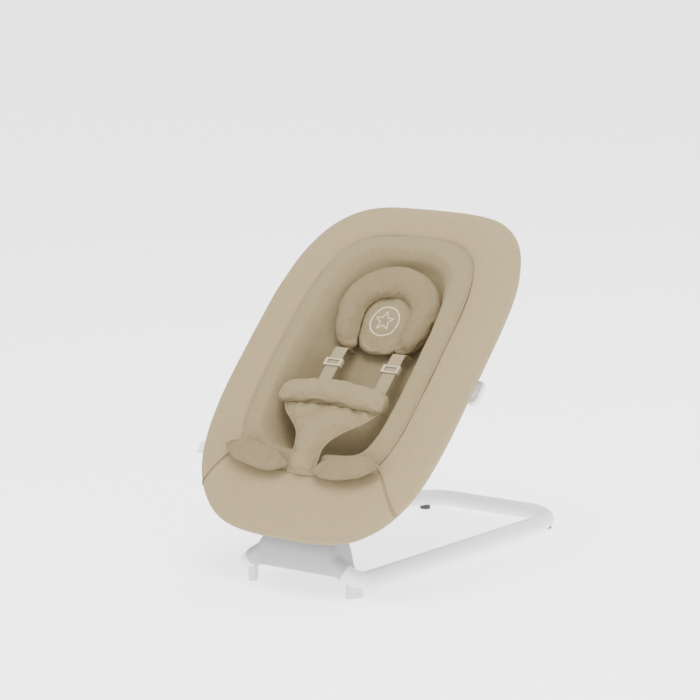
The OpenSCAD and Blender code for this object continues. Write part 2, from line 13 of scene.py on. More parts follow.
import bmesh
import bpy
import numpy as np
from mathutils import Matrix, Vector
from mathutils.bvhtree import BVHTree


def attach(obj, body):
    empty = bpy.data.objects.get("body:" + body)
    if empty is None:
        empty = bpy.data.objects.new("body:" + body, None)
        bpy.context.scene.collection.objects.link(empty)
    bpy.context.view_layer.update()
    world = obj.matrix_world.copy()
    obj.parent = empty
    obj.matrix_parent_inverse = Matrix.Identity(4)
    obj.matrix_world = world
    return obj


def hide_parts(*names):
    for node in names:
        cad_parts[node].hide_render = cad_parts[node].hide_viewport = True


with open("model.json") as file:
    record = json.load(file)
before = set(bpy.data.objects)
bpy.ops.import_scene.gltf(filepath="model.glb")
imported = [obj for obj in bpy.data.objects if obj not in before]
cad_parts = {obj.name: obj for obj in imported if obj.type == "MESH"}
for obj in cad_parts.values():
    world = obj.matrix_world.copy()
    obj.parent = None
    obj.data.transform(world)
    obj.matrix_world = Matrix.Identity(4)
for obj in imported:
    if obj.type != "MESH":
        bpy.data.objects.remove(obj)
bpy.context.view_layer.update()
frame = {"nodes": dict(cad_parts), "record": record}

MM = 0.001
STEPS_PER_CONTROL = 24
SIDES = (("left", -1), ("right", 1))
LOG = logging.getLogger("bouncer")
Colour = Tuple[float, float, float]


# ---- shader wrapper
class Socket:
    """A node's output socket whose arithmetic adds Math nodes to the tree."""

    def __init__(self, tree: bpy.types.NodeTree, out: bpy.types.NodeSocket) -> None:
        """Keep the tree and the socket."""
        self.tree = tree
        self.out = out

    def _math(self, operation: str, *others: object) -> "Socket":
        """Add one Math node.

        Args:
            operation: the Math node's operation.
            others: numbers or sockets for the other inputs.

        Returns:
            The node's result.
        """
        node = self.tree.nodes.new("ShaderNodeMath")
        node.operation = operation
        for slot_in, value in zip(node.inputs, (self, *others)):
            plug(self.tree, slot_in, value)
        return Socket(self.tree, node.outputs[0])

    def __add__(self, other: object) -> "Socket":
        """Sum."""
        return self._math("ADD", other)

    __radd__ = __add__

    def __sub__(self, other: object) -> "Socket":
        """Difference."""
        return self._math("SUBTRACT", other)

    def __mul__(self, other: object) -> "Socket":
        """Product."""
        return self._math("MULTIPLY", other)

    def sine(self) -> "Socket":
        """Sine of a value in radians."""
        return self._math("SINE")

    def clipped(self) -> "Socket":
        """The value held between 0 and 1."""
        return self._math("MAXIMUM", 0.0)._math("MINIMUM", 1.0)


def plug(tree: bpy.types.NodeTree, slot_in: bpy.types.NodeSocket, value: object) -> None:
    """Link an input to a Socket, or set it to a number or a colour.

    Args:
        tree: the node tree.
        slot_in: the input.
        value: a Socket, a number, or a tuple of three that gets an alpha of 1.
    """
    if isinstance(value, Socket):
        tree.links.new(value.out, slot_in)
    elif isinstance(value, tuple):
        slot_in.default_value = (*value, 1.0)
    else:
        slot_in.default_value = value


class Shader:
    """Builds one material on the Principled shader."""

    def __init__(self, name: str) -> None:
        """Make an empty material called name."""
        self.material = bpy.data.materials.new(name)
        self.material.use_nodes = True
        self.tree = self.material.node_tree
        self.tree.nodes.clear()
        self.output = self.tree.nodes.new("ShaderNodeOutputMaterial")
        self.principled = self.tree.nodes.new("ShaderNodeBsdfPrincipled")
        self.tree.links.new(self.principled.outputs[0], self.output.inputs[0])

    def node(self, kind: str, out: object = 0, **inputs: object) -> Socket:
        """Add any node.

        Args:
            kind: the node's class name.
            out: which output to return, by number or name.
            inputs: values or sockets, with underscores for spaces in socket names.

        Returns:
            The chosen output.
        """
        node = self.tree.nodes.new(kind)
        for key, value in inputs.items():
            plug(self.tree, node.inputs[key.replace("_", " ")], value)
        return Socket(self.tree, node.outputs[out])

    def coords(self, kind: str = "Object") -> Socket:
        """Texture coordinates of one kind."""
        return self.node("ShaderNodeTexCoord", kind)

    def axis(self, vector: Socket, which: str) -> Socket:
        """One component of a vector."""
        return self.node("ShaderNodeSeparateXYZ", which, Vector=vector)

    def noise(self, vector: Socket, scale: float, detail: float = 2.0,
              rough: float = 0.5) -> Socket:
        """Noise between 0 and 1."""
        return self.node("ShaderNodeTexNoise", 0, Vector=vector, Scale=scale, Detail=detail,
                         Roughness=rough)

    def mix(self, factor: object, first: object, second: object) -> Socket:
        """Mix two colours by a factor."""
        node = self.tree.nodes.new("ShaderNodeMix")
        node.data_type = "RGBA"
        for number, value in ((0, factor), (6, first), (7, second)):
            plug(self.tree, node.inputs[number], value)
        return Socket(self.tree, node.outputs[2])

    def bump(self, height: Socket, strength: float, distance: float) -> None:
        """Send a height to the surface's normal."""
        normal = self.node("ShaderNodeBump", 0, Height=height, Strength=strength,
                           Distance=distance)
        self.tree.links.new(normal.out, self.principled.inputs["Normal"])

    def send(self, **inputs: object) -> None:
        """Set or link the Principled shader's inputs, with underscores for spaces."""
        for key, value in inputs.items():
            plug(self.tree, self.principled.inputs[key.replace("_", " ")], value)


def linear(red: int, green: int, blue: int) -> Colour:
    """Scene-linear colour of an sRGB colour in steps of 255."""
    values = [v / 255 for v in (red, green, blue)]
    out = [v / 12.92 if v <= 0.04045 else ((v + 0.055) / 1.055) ** 2.4 for v in values]
    return out[0], out[1], out[2]


def shaded(colour: Colour, by: float) -> Colour:
    """A colour made lighter or darker by a factor."""
    return colour[0] * by, colour[1] * by, colour[2] * by


# ---- finishes
class Weave(Enum):
    """Cloth structures."""

    JERSEY = "jersey"
    TWILL = "twill"
    TAPE = "tape"


@dataclass(frozen=True)
class Cloth:
    """A woven or knitted cloth on a piece's own UV map, in metres.

    The noise scales are per metre. The tone runs from dark to pale times the colour.
    """

    name: str
    colour: Colour
    weave: Weave = Weave.JERSEY
    pitch: float = 1.1 * MM
    fibre_scale: float = 900.0
    slub_scale: float = 130.0
    broad_scale: float = 14.0
    dark: float = 0.86
    pale: float = 1.12
    faded: float = 0.93
    rough: float = 0.92
    relief: float = 0.35 * MM

    def make(self) -> bpy.types.Material:
        """Build the material."""
        sh = Shader(self.name)
        uv = sh.coords("UV")
        obj = sh.coords("Object")
        across = sh.axis(uv, "X")
        along = sh.axis(uv, "Y")
        turn = 2 * math.pi / self.pitch
        if self.weave is Weave.TAPE:
            threads = (across * turn).sine() * 0.5 + (along * (turn * 0.5)).sine() * 0.5
        elif self.weave is Weave.TWILL:
            ribs = ((across - along) * turn).sine() * 0.4 + 0.6
            threads = ((across + along) * turn).sine() * ribs
        else:
            threads = (across * turn).sine() * (along * turn).sine()
        fibre = sh.noise(obj, self.fibre_scale, 3.0, 0.65)
        slub = sh.noise(obj, self.slub_scale, 3.0, 0.6)
        broad = sh.noise(obj, self.broad_scale, 2.0, 0.5)
        tone = (0.5 + (slub - 0.5) * 0.9 + (fibre - 0.5) * 0.7 + threads * 0.10).clipped()
        base = sh.mix(tone, shaded(self.colour, self.dark), shaded(self.colour, self.pale))
        base = sh.mix((broad - 0.4) * 0.5, base, shaded(self.colour, self.faded))
        sh.bump(threads * 0.35 + fibre * 0.8 + slub * 0.9, 0.55, self.relief)
        sh.send(Base_Color=base, Roughness=self.rough, Sheen_Weight=0.25,
                Sheen_Roughness=0.5, Specular_IOR_Level=0.2,
                Sheen_Tint=shaded(self.colour, 1.5))
        return sh.material


@dataclass(frozen=True)
class Coat:
    """A powder coat: a satin paint with a fine orange peel."""

    name: str
    colour: Colour
    rough: float = 0.42
    grain: float = 1200.0
    coat: float = 0.15
    metal: float = 0.0
    worn: float = 0.04

    def make(self) -> bpy.types.Material:
        """Build the material."""
        sh = Shader(self.name)
        obj = sh.coords("Object")
        peel = sh.noise(obj, self.grain, 2.0, 0.5)
        haze = sh.noise(obj, 22.0, 3.0, 0.55)
        tone = sh.mix(haze, shaded(self.colour, 1 - self.worn),
                      shaded(self.colour, 1 + self.worn))
        sh.send(Base_Color=tone, Roughness=haze * 0.10 + (self.rough - 0.05),
                Coat_Weight=self.coat, Coat_Roughness=0.3, Metallic=self.metal)
        sh.bump(peel, 0.25, 0.12 * MM)
        return sh.material


# ---- meshes
def link(obj: bpy.types.Object) -> bpy.types.Object:
    """Put an object in the scene."""
    bpy.context.scene.collection.objects.link(obj)
    return obj


def run_along(line: np.ndarray, closed: bool = False) -> np.ndarray:
    """Length run along a line at each of its points, and back at the first if closed."""
    if closed:
        line = np.concatenate([line, line[:1]])
    return np.concatenate([[0], np.cumsum(np.linalg.norm(np.diff(line, axis=0), axis=1))])


def grid_object(name: str, points: np.ndarray, wrap: bool = True, caps: bool = False,
                loop: bool = False) -> bpy.types.Object:
    """Make a mesh from a grid of points.

    Rows run along the first index and columns along the second. Each quad joins a point to
    its neighbours along both; its UV is the length run along the row and the column, in
    metres, measured on the middle row and middle column.

    Args:
        name: the object's name.
        points: array of rows, columns and three coordinates, in metres.
        wrap: join the last column to the first.
        caps: close the first and last rows with a fan.
        loop: join the last row to the first.

    Returns:
        The object, linked and smooth.
    """
    rows, cols = points.shape[:2]
    i, j = np.meshgrid(np.arange(rows if loop else rows - 1),
                       np.arange(cols if wrap else cols - 1), indexing="ij")
    after, beside = (i + 1) % rows, (j + 1) % cols
    quads = np.stack([i * cols + j, i * cols + beside, after * cols + beside,
                      after * cols + j], -1).reshape(-1, 4)
    run_u = run_along(points[rows // 2], closed=True)
    run_v = run_along(points[:, cols // 2], closed=True)
    uv = np.stack([np.stack([run_u[c], run_v[r]], -1) for r, c in (
        (i, j), (i, j + 1), (i + 1, j + 1), (i + 1, j))], -2).reshape(-1, 2)
    verts = points.reshape(-1, 3)
    tris = np.zeros((0, 3), int)
    if caps:
        k = np.arange(cols)
        turned = (k + 1) % cols
        last, hub = (rows - 1) * cols, rows * cols
        verts = np.concatenate([verts, points[:1].mean(1), points[-1:].mean(1)])
        tris = np.concatenate([
            np.stack([np.full(cols, hub), turned, k], -1),
            np.stack([np.full(cols, hub + 1), last + k, last + turned], -1)])
        uv = np.concatenate([uv, np.zeros((tris.size, 2))])
    mesh = bpy.data.meshes.new(name)
    mesh.vertices.add(len(verts))
    mesh.vertices.foreach_set("co", verts.astype(np.float32).ravel())
    flat = np.concatenate([quads.ravel(), tris.ravel()])
    sizes = np.concatenate([np.full(len(quads), 4), np.full(len(tris), 3)])
    mesh.loops.add(len(flat))
    mesh.loops.foreach_set("vertex_index", flat.astype(np.int32))
    mesh.polygons.add(len(sizes))
    mesh.polygons.foreach_set("loop_start",
                              np.concatenate([[0], np.cumsum(sizes)[:-1]]).astype(np.int32))
    mesh.polygons.foreach_set("loop_total", sizes.astype(np.int32))
    layer = mesh.uv_layers.new(name="UVMap")
    layer.data.foreach_set("uv", uv.astype(np.float32).ravel())
    mesh.update(calc_edges=True)
    mesh.validate()
    mesh.shade_smooth()
    bm = bmesh.new()
    bm.from_mesh(mesh)
    bmesh.ops.recalc_face_normals(bm, faces=bm.faces)
    bm.to_mesh(mesh)
    bm.free()
    return link(bpy.data.objects.new(name, mesh))


def smooth_path(controls: Sequence[Sequence[float]], count: int) -> np.ndarray:
    """A Catmull-Rom curve through control rows, resampled to even steps.

    Args:
        controls: rows of values; all their columns are interpolated together.
        count: how many rows to return.

    Returns:
        An array of count rows.
    """
    p = np.asarray(controls, float)
    p = np.concatenate([2 * p[:1] - p[1:2], p, 2 * p[-1:] - p[-2:-1]])
    t = np.linspace(0, 1, STEPS_PER_CONTROL, endpoint=False)[:, None, None]
    a, b, c, d = p[:-3], p[1:-2], p[2:-1], p[3:]
    s = 0.5 * (2 * b + (c - a) * t + (2 * a - 5 * b + 4 * c - d) * t ** 2
               + (3 * b - a - 3 * c + d) * t ** 3)
    s = np.concatenate([s.transpose(1, 0, 2).reshape(-1, p.shape[1]), p[-2:-1]])
    run = run_along(s)
    return resampled(s, run, np.linspace(0, run[-1], count))


def resampled(rows: np.ndarray, run: np.ndarray, want: np.ndarray) -> np.ndarray:
    """Rows read off at the wanted places of a rising run, column by column."""
    return np.stack([np.interp(want, run, rows[:, k]) for k in range(rows.shape[1])], -1)


def sweep(name: str, path: np.ndarray, section: np.ndarray, up: Sequence[float],
          closed: bool = False) -> bpy.types.Object:
    """Sweep a closed section along a path.

    Each ring stands square to the path: its first axis is the path's direction crossed with
    up, and its second is square to both.

    Args:
        name: the object's name.
        path: points of the path, in metres.
        section: points of the section, in metres, two columns.
        up: the direction that the section's second axis leans to.
        closed: join the path's end to its start.

    Returns:
        The object.
    """
    if closed:
        tangent = np.roll(path, -1, 0) - np.roll(path, 1, 0)
    else:
        tangent = np.gradient(path, axis=0)
    tangent /= np.linalg.norm(tangent, axis=1)[:, None]
    side = np.cross(tangent, np.asarray(up, float)[None, :])
    side /= np.linalg.norm(side, axis=1)[:, None]
    lift = np.cross(side, tangent)
    rings = path[:, None] + section[:, :1] * side[:, None] + section[:, 1:] * lift[:, None]
    return grid_object(name, rings, caps=not closed, loop=closed)


def cord(name: str, path: np.ndarray, radius: float, up: Sequence[float],
         material: bpy.types.Material, closed: bool = False,
         count: int = 12) -> bpy.types.Object:
    """A round cord on the seat, with no CAD node of its own.

    Args:
        name: the object's name.
        path: points of the cord, in metres.
        radius: the cord's radius, in millimetres.
        up: a direction that is never along the path.
        material: its finish.
        closed: join the path's end to its start.
        count: points round the cord.

    Returns:
        The object.
    """
    obj = sweep(name, path, oval(radius, radius, count) * MM, up, closed=closed)
    return dress(obj, material, "cloth_sand", "seat")


def oval(half_a: float, half_b: float, count: int = 32, square: float = 2.0) -> np.ndarray:
    """Points of a superellipse: each axis is the cosine or sine to the power 2 / square."""
    t = np.linspace(0, 2 * np.pi, count, endpoint=False)
    return np.stack([half_a * np.sign(np.cos(t)) * np.abs(np.cos(t)) ** (2 / square),
                     half_b * np.sign(np.sin(t)) * np.abs(np.sin(t)) ** (2 / square)], -1)


# ---- the seat's own surface
@dataclass
class Seat:
    """Sizes of the seat, in millimetres, and points on its layers."""

    half_w: float = 226.0
    half_l: float = 330.0
    lip_u: float = -30.0
    edge_m: float = 114.0
    lip_drop: float = 32.0
    top_drop: float = 16.0
    lip_curve: float = 2.6
    crown: float = 0.424
    depth: float = 100.0
    deep_u: float = 170.0
    back_slope: float = 0.17
    pan_slope: float = 0.20
    square_top: float = 3.65
    square_lip: float = 3.45
    apron: float = 40.0
    tilt: float = math.radians(45.0)
    axle: Tuple[float, float, float] = (0.0, -249.90, 62.0)
    curl_from: float = 7.0
    curl_share: float = 0.45
    outer_inset: float = 10.6
    hang_width: float = 10.0
    hang_run: float = 24.0
    band_inset: float = 6.0
    band_run: float = 40.0
    bolster_inset: float = 72.0
    bolster_rise: float = 2.0
    bolster_share: float = 0.7

    @property
    def mid_u(self) -> float:
        """Middle of the seat's length."""
        return self.lip_u + self.half_l

    def edge(self, u: np.ndarray) -> np.ndarray:
        """Height of the edge line: two curves that meet at the crown."""
        crown_u = self.lip_u + self.crown * 2 * self.half_l
        share = np.clip((crown_u - u) / (crown_u - self.lip_u), 0, 1.1)
        low = self.edge_m - self.lip_drop * share ** self.lip_curve
        high = self.edge_m - self.top_drop * (
            (u - crown_u) / (self.lip_u + 2 * self.half_l - crown_u)) ** 2
        return np.where(u < crown_u, low, high)

    def deep(self, u: np.ndarray) -> np.ndarray:
        """Depth of the bucket under the edge line."""
        return np.where(u > self.deep_u, self.depth - self.back_slope * (u - self.deep_u),
                        self.depth - self.pan_slope * (self.deep_u - u))

    def surface(self, v: np.ndarray, angle: np.ndarray) -> np.ndarray:
        """Points of a layer in seat coordinates.

        The outline is a superellipse shrunk by the inset; the height is the edge line's plus
        the rise, mixed with the floor's by the share of depth. Towards the lip the padded
        band widens, and the outer side hangs less and curls back under the seat.

        Args:
            v: inset, rise, share of depth and rise over the floor, in the last axis.
            angle: angles round the outline, in radians.

        Returns:
            x, u and m, in millimetres.
        """
        inset, rise, share, floor = (v[..., k] for k in range(4))
        c, s = np.cos(angle), np.sin(angle)
        power = 2 / np.where(s > 0, self.square_top, self.square_lip)
        round_x = np.sign(c) * np.abs(c) ** power
        round_u = np.sign(s) * np.abs(s) ** power
        lip = np.maximum(0, -s) ** 2
        outer = np.where(inset < self.outer_inset, 1.0, 0.0)
        wide = self.apron * lip * np.clip((inset - self.band_inset) / self.band_run, 0, 1)
        wide = wide + self.hang_width * lip * outer * np.clip(
            (-self.curl_from - rise) / self.hang_run, 0, 1)
        below = np.minimum(0, rise + self.curl_from)
        rise = rise - below * self.curl_share * lip * outer
        rise = np.where((inset > self.bolster_inset) & (rise > self.bolster_rise),
                        rise * (1 - self.bolster_share * lip), rise)
        u = self.mid_u + (self.half_l - inset - wide) * round_u
        m = self.edge(u) + rise * (1 - share) + share * (floor - self.deep(u))
        return np.stack([(self.half_w - inset) * round_x, u, m], -1)

    def even_angles(self, count: int) -> np.ndarray:
        """Angles that step evenly along the outline."""
        fine = np.linspace(-np.pi / 2, 1.5 * np.pi, 40001)
        run = run_along(self.surface(np.zeros((len(fine), 4)), fine))
        return np.interp(np.linspace(0, run[-1], count, endpoint=False), run, fine)

    def world(self, p: np.ndarray) -> np.ndarray:
        """Seat coordinates in millimetres to the frame, in metres."""
        c, s = math.cos(self.tilt), math.sin(self.tilt)
        x, u, m = p[..., 0], p[..., 1], p[..., 2]
        return np.stack([x, self.axle[1] + u * c - m * s, self.axle[2] + u * s + m * c],
                        -1) * MM

    def out(self) -> Tuple[float, float, float]:
        """Direction out of the seat's face."""
        return 0.0, -math.sin(self.tilt), math.cos(self.tilt)


def dress(obj: bpy.types.Object, material: bpy.types.Material, slot: str, body: str,
          *nodes: str, fill: Optional[float] = None) -> bpy.types.Object:
    """Give a piece its material and body, and hide the CAD nodes that it replaces.

    Args:
        obj: the piece.
        material: its finish.
        slot: the record's material slot; not used.
        body: the body that it rides on.
        nodes: CAD nodes that it stands for.
        fill: how tight a padded piece is; not used.

    Returns:
        The piece.
    """
    obj.data.materials.clear()
    obj.data.materials.append(material)
    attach(obj, body)
    if nodes:
        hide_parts(*nodes)
    return obj


def rumple(points: np.ndarray, size: float, wave: float, seed: int) -> np.ndarray:
    """Lift a surface along its normals by a sum of slow waves.

    The lift is the mean of nine sine waves with random directions and lengths near wave. The
    grid's columns close on themselves.

    Args:
        points: a grid of points in millimetres.
        size: greatest lift in millimetres.
        wave: mean wavelength in millimetres.
        seed: random seed.

    Returns:
        The lifted grid.
    """
    rng = np.random.default_rng(seed)
    ways = rng.normal(size=(9, 3))
    ways /= np.linalg.norm(ways, axis=1)[:, None]
    ways *= (2 * np.pi / (wave * rng.uniform(0.6, 1.6, 9)))[:, None]
    lift = np.sin(points @ ways.T + rng.uniform(0, 2 * np.pi, 9)).mean(-1) * size * 1.6
    across = np.roll(points, -1, 1) - np.roll(points, 1, 1)
    normal = np.cross(across, np.gradient(points, axis=0))
    normal /= np.linalg.norm(normal, axis=-1)[..., None] + 1e-9
    return points + normal * lift[..., None]


def baked(obj: bpy.types.Object) -> bpy.types.Object:
    """Apply an object's modifiers to its mesh."""
    graph = bpy.context.evaluated_depsgraph_get()
    mesh = bpy.data.meshes.new_from_object(obj.evaluated_get(graph))
    obj.modifiers.clear()
    obj.data = mesh
    mesh.shade_smooth()
    return obj


def joined(name: str, parts: Sequence[bpy.types.Object]) -> bpy.types.Object:
    """Put several meshes in one object and remove the originals."""
    bm = bmesh.new()
    for part in parts:
        bm.from_mesh(part.data)
        bpy.data.objects.remove(part)
    mesh = bpy.data.meshes.new(name)
    bm.to_mesh(mesh)
    bm.free()
    return link(bpy.data.objects.new(name, mesh))


def melted(obj: bpy.types.Object, voxel: float, rounds: int) -> bpy.types.Object:
    """Fuse an object's parts with a voxel remesh and round their joints by smoothing."""
    remesh = obj.modifiers.new("fuse", "REMESH")
    remesh.mode = "VOXEL"
    remesh.voxel_size = voxel
    soften = obj.modifiers.new("soften", "SMOOTH")
    soften.factor = 0.5
    soften.iterations = rounds
    return baked(obj)


@dataclass(frozen=True)
class Filling:
    """A short cloth simulation that fills a padded piece behind its seams."""

    pressure: float = 4.0
    ease: float = 0.045
    stiffness: float = 15.0
    shear_share: float = 0.4
    bending: float = 0.5
    mass: float = 0.15
    damping: float = 4.0
    quality: int = 5
    cap: float = 6.0 * MM
    frames: int = 20

    def fill(self, obj: bpy.types.Object, seams: np.ndarray) -> bpy.types.Object:
        """Blow a piece up with its seams held, and keep the shape that it takes.

        The cloth is cut a little larger than the piece, so it gathers where a seam holds it.

        Args:
            obj: the piece, a closed mesh.
            seams: indices of the points on its seams.

        Returns:
            The piece.
        """
        mesh = obj.data
        count = len(mesh.vertices)
        start = np.empty(count * 3, np.float32)
        mesh.vertices.foreach_get("co", start)
        obj.vertex_groups.new(name="seam").add([int(k) for k in seams], 1.0, "REPLACE")
        cloth = obj.modifiers.new("filling", "CLOTH")
        settings = cloth.settings
        settings.quality = self.quality
        settings.mass = self.mass
        settings.tension_stiffness = self.stiffness
        settings.compression_stiffness = self.stiffness
        settings.shear_stiffness = self.stiffness * self.shear_share
        settings.bending_stiffness = self.bending
        settings.air_damping = self.damping
        settings.use_pressure = True
        settings.uniform_pressure_force = self.pressure
        settings.shrink_min = -self.ease
        settings.vertex_group_mass = "seam"
        settings.effector_weights.gravity = 0.0
        cloth.collision_settings.use_collision = False
        cloth.point_cache.frame_start = 1
        cloth.point_cache.frame_end = self.frames
        for number in range(1, self.frames + 1):
            bpy.context.scene.frame_set(number)
        graph = bpy.context.evaluated_depsgraph_get()
        moved = np.empty(count * 3, np.float32)
        obj.evaluated_get(graph).data.vertices.foreach_get("co", moved)
        step = (moved - start).reshape(-1, 3)
        length = np.linalg.norm(step, axis=1)[:, None]
        step *= np.minimum(1.0, self.cap / np.maximum(length, 1e-9))
        LOG.info("%s: filled, %.1f mm at most, %.1f mm on average", obj.name,
                 float(length.max() / MM), float(length.mean() / MM))
        obj.modifiers.clear()
        obj.vertex_groups.clear()
        mesh.vertices.foreach_set("co", (start + step.ravel()).astype(np.float32))
        mesh.update()
        bpy.context.scene.frame_set(1)
        return obj


def cushion(name: str, points: np.ndarray, filling: Filling, rows: Sequence[int],
            columns: Sequence[int] = ()) -> bpy.types.Object:
    """A closed pad, filled behind its seams.

    Args:
        name: the object's name.
        points: a grid of points in the frame, in metres.
        filling: how it is filled.
        rows: rows of the grid that are seams.
        columns: columns of the grid that are seams.

    Returns:
        The pad.
    """
    index = np.arange(points[..., 0].size).reshape(points.shape[:2])
    seams = [index[k] for k in rows] + [index[:, k] for k in columns]
    return filling.fill(grid_object(name, points, caps=True),
                        np.unique(np.concatenate(seams)))


# ---- sub-assemblies
@dataclass
class Finishes:
    """The materials that the sub-assemblies share."""

    cover: Cloth = Cloth("cover_cloth", linear(142, 127, 96))
    liner: Cloth = Cloth("liner_cloth", linear(129, 116, 87))
    # Partly painted shade: this cloth is darker than the cover to carry the shade on the head
    # ring, and partly a darker fabric; the leg pads share it.
    pad: Cloth = Cloth("pad_cloth_with_painted_shade", linear(120, 107, 80))
    piping: Cloth = Cloth("piping_cloth", linear(132, 118, 90), Weave.TWILL, 0.8 * MM)
    thread: Cloth = Cloth("pale_thread", linear(192, 182, 160), Weave.TWILL, 0.8 * MM)
    seam: Cloth = Cloth("seam_thread", linear(112, 100, 76), Weave.TWILL, 0.8 * MM)
    tape: Cloth = Cloth("webbing", linear(140, 128, 98), Weave.TAPE, 1.5 * MM)
    label: Cloth = Cloth("label_tape", linear(236, 234, 228), Weave.TAPE, 0.8 * MM)
    tube: Coat = Coat("powder_coat", linear(226, 226, 227))
    bridge: Coat = Coat("moulded_grey", linear(162, 163, 166), 0.55, 700.0, 0.0)
    dark: Coat = Coat("moulded_dark", linear(118, 120, 123), 0.55, 600.0, 0.0)
    light: Coat = Coat("moulded_light", linear(208, 208, 210), 0.5, 600.0, 0.0)
    buckle: Coat = Coat("moulded_sand", linear(172, 160, 134), 0.4, 900.0, 0.05)
    white: Coat = Coat("moulded_white", linear(238, 236, 231), 0.35, 900.0, 0.1)
    rubber: Coat = Coat("rubber", linear(58, 58, 59), 0.8, 500.0, 0.0)
    steel: Coat = Coat("plated_steel", linear(188, 189, 190), 0.32, 1500.0, 0.0, 0.9)
    made: Dict[str, bpy.types.Material] = field(default_factory=dict)

    def get(self, name: str) -> bpy.types.Material:
        """The material called by a field's name, made once."""
        if name not in self.made:
            self.made[name] = getattr(self, name).make()
        return self.made[name]


@dataclass
class Upholstery:
    """The outer cover and the newborn liner on the shell."""

    seat: Seat
    finishes: Finishes
    columns: int = 420
    cord_steps: int = 560
    seam_steps: int = 60
    seam_lift: float = 0.15
    cover_rows: Sequence[Sequence[float]] = (
        (212, 0, 1, 0), (170, 0, 1, 0), (135, 0, 1, 0), (110, 0, 0.92, 0),
        (94, 0, 0.72, 0), (84, 0, 0.42, 0), (77, 0, 0.14, 0), (70, 2.5, 0, 0), (58, 6, 0, 0),
        (42, 8, 0, 0), (26, 7, 0, 0), (13, 3.5, 0, 0), (4, -1, 0, 0), (0, -8, 0, 0),
        (1.5, -19, 0, 0), (6.5, -30, 0, 0), (9.5, -31, 0, 0), (7.4, -19, 0, 0),
        (6, -10, 0, 0), (8.5, -5, 0, 0), (14, -2, 0, 0), (26, -1.8, 0, 0), (45, -1.8, 0, 0),
        (59, -4, 0, 0), (67, -8, 0.14, -9), (74, -8, 0.42, -9), (84, -8, 0.72, -9),
        (101, -8, 0.92, -9), (131, -8, 1, -9), (168, -8, 1, -9), (210, -8, 1, -9))
    liner_rows: Sequence[Sequence[float]] = (
        (212, 0, 1, 12), (176, 0, 1, 12), (154, 0, 1, 14), (140, 0, 0.93, 16),
        (130, 0, 0.72, 16), (122, 2, 0.42, 12), (114, 6, 0.16, 12), (103, 11, 0, 0),
        (91, 13, 0, 0), (80, 11, 0, 0), (73, 7, 0, 0), (70.8, 3.8, 0, 0),
        (78, 1.2, 0.14, 1.4), (85.4, 1.2, 0.42, 1.4), (95.8, 1.2, 0.72, 1.4),
        (112, 1.2, 0.92, 1.4), (136, 1.2, 1, 1.4), (170, 1.2, 1, 1.4),
        (211, 1.2, 1, 1.4))

    def layer(self, rows: Sequence[Sequence[float]], count: int, size: float,
              seed: int) -> np.ndarray:
        """Points of one layer: its section at every angle, with soft waves."""
        v = smooth_path(rows, count)
        angle = self.seat.even_angles(self.columns)
        grid = self.seat.surface(np.broadcast_to(v[:, None], (count, self.columns, 4)),
                                 np.broadcast_to(angle[None], (count, self.columns)))
        return rumple(grid, size, 90.0, seed)

    def ring(self, v: Sequence[float], name: str, radius: float) -> None:
        """A piping cord round the seat at one place of the section."""
        steps = self.cord_steps
        path = self.seat.surface(np.broadcast_to(np.asarray(v, float), (steps, 4)),
                                 self.seat.even_angles(steps))
        cord(name, self.seat.world(path), radius, self.seat.out(),
             self.finishes.get("piping"), closed=True)

    def seams(self) -> None:
        """Double seams across the band at the lip's corners, from the liner to the hem."""
        rows = smooth_path([(70, 3.0, 0, 0), *self.cover_rows[8:15]], self.seam_steps)
        rows[:, 1] += self.seam_lift
        for name, degrees in (("left", 222.5), ("right", -42.5)):
            for number, turn in enumerate((-0.55, 0.55)):
                angle = np.full(self.seam_steps, math.radians(degrees + turn))
                cord(f"lip_seam_{name}_{number}",
                     self.seat.world(self.seat.surface(rows, angle)), 0.7, self.seat.out(),
                     self.finishes.get("seam"), count=10)

    def build(self) -> None:
        """Make the cover, the liner and their piping."""
        cover = grid_object("outer_cover_cloth",
                            self.seat.world(self.layer(self.cover_rows, 150, 0.9, 3)),
                            caps=True)
        dress(cover, self.finishes.get("cover"), "cloth_sand", "seat", "outer_cover", fill=0.7)
        liner = grid_object("newborn_liner_cloth",
                            self.seat.world(self.layer(self.liner_rows, 110, 1.3, 5)),
                            caps=True)
        dress(liner, self.finishes.get("liner"), "cloth_sand", "seat", "newborn_liner",
              fill=0.6)
        self.ring((70.6, 4.4, 0, 0), "liner_piping", 1.7)
        self.ring((8.0, -31.2, 0, 0), "cover_hem", 1.6)
        self.seams()
        LOG.info("upholstery: cover, liner and two cords")


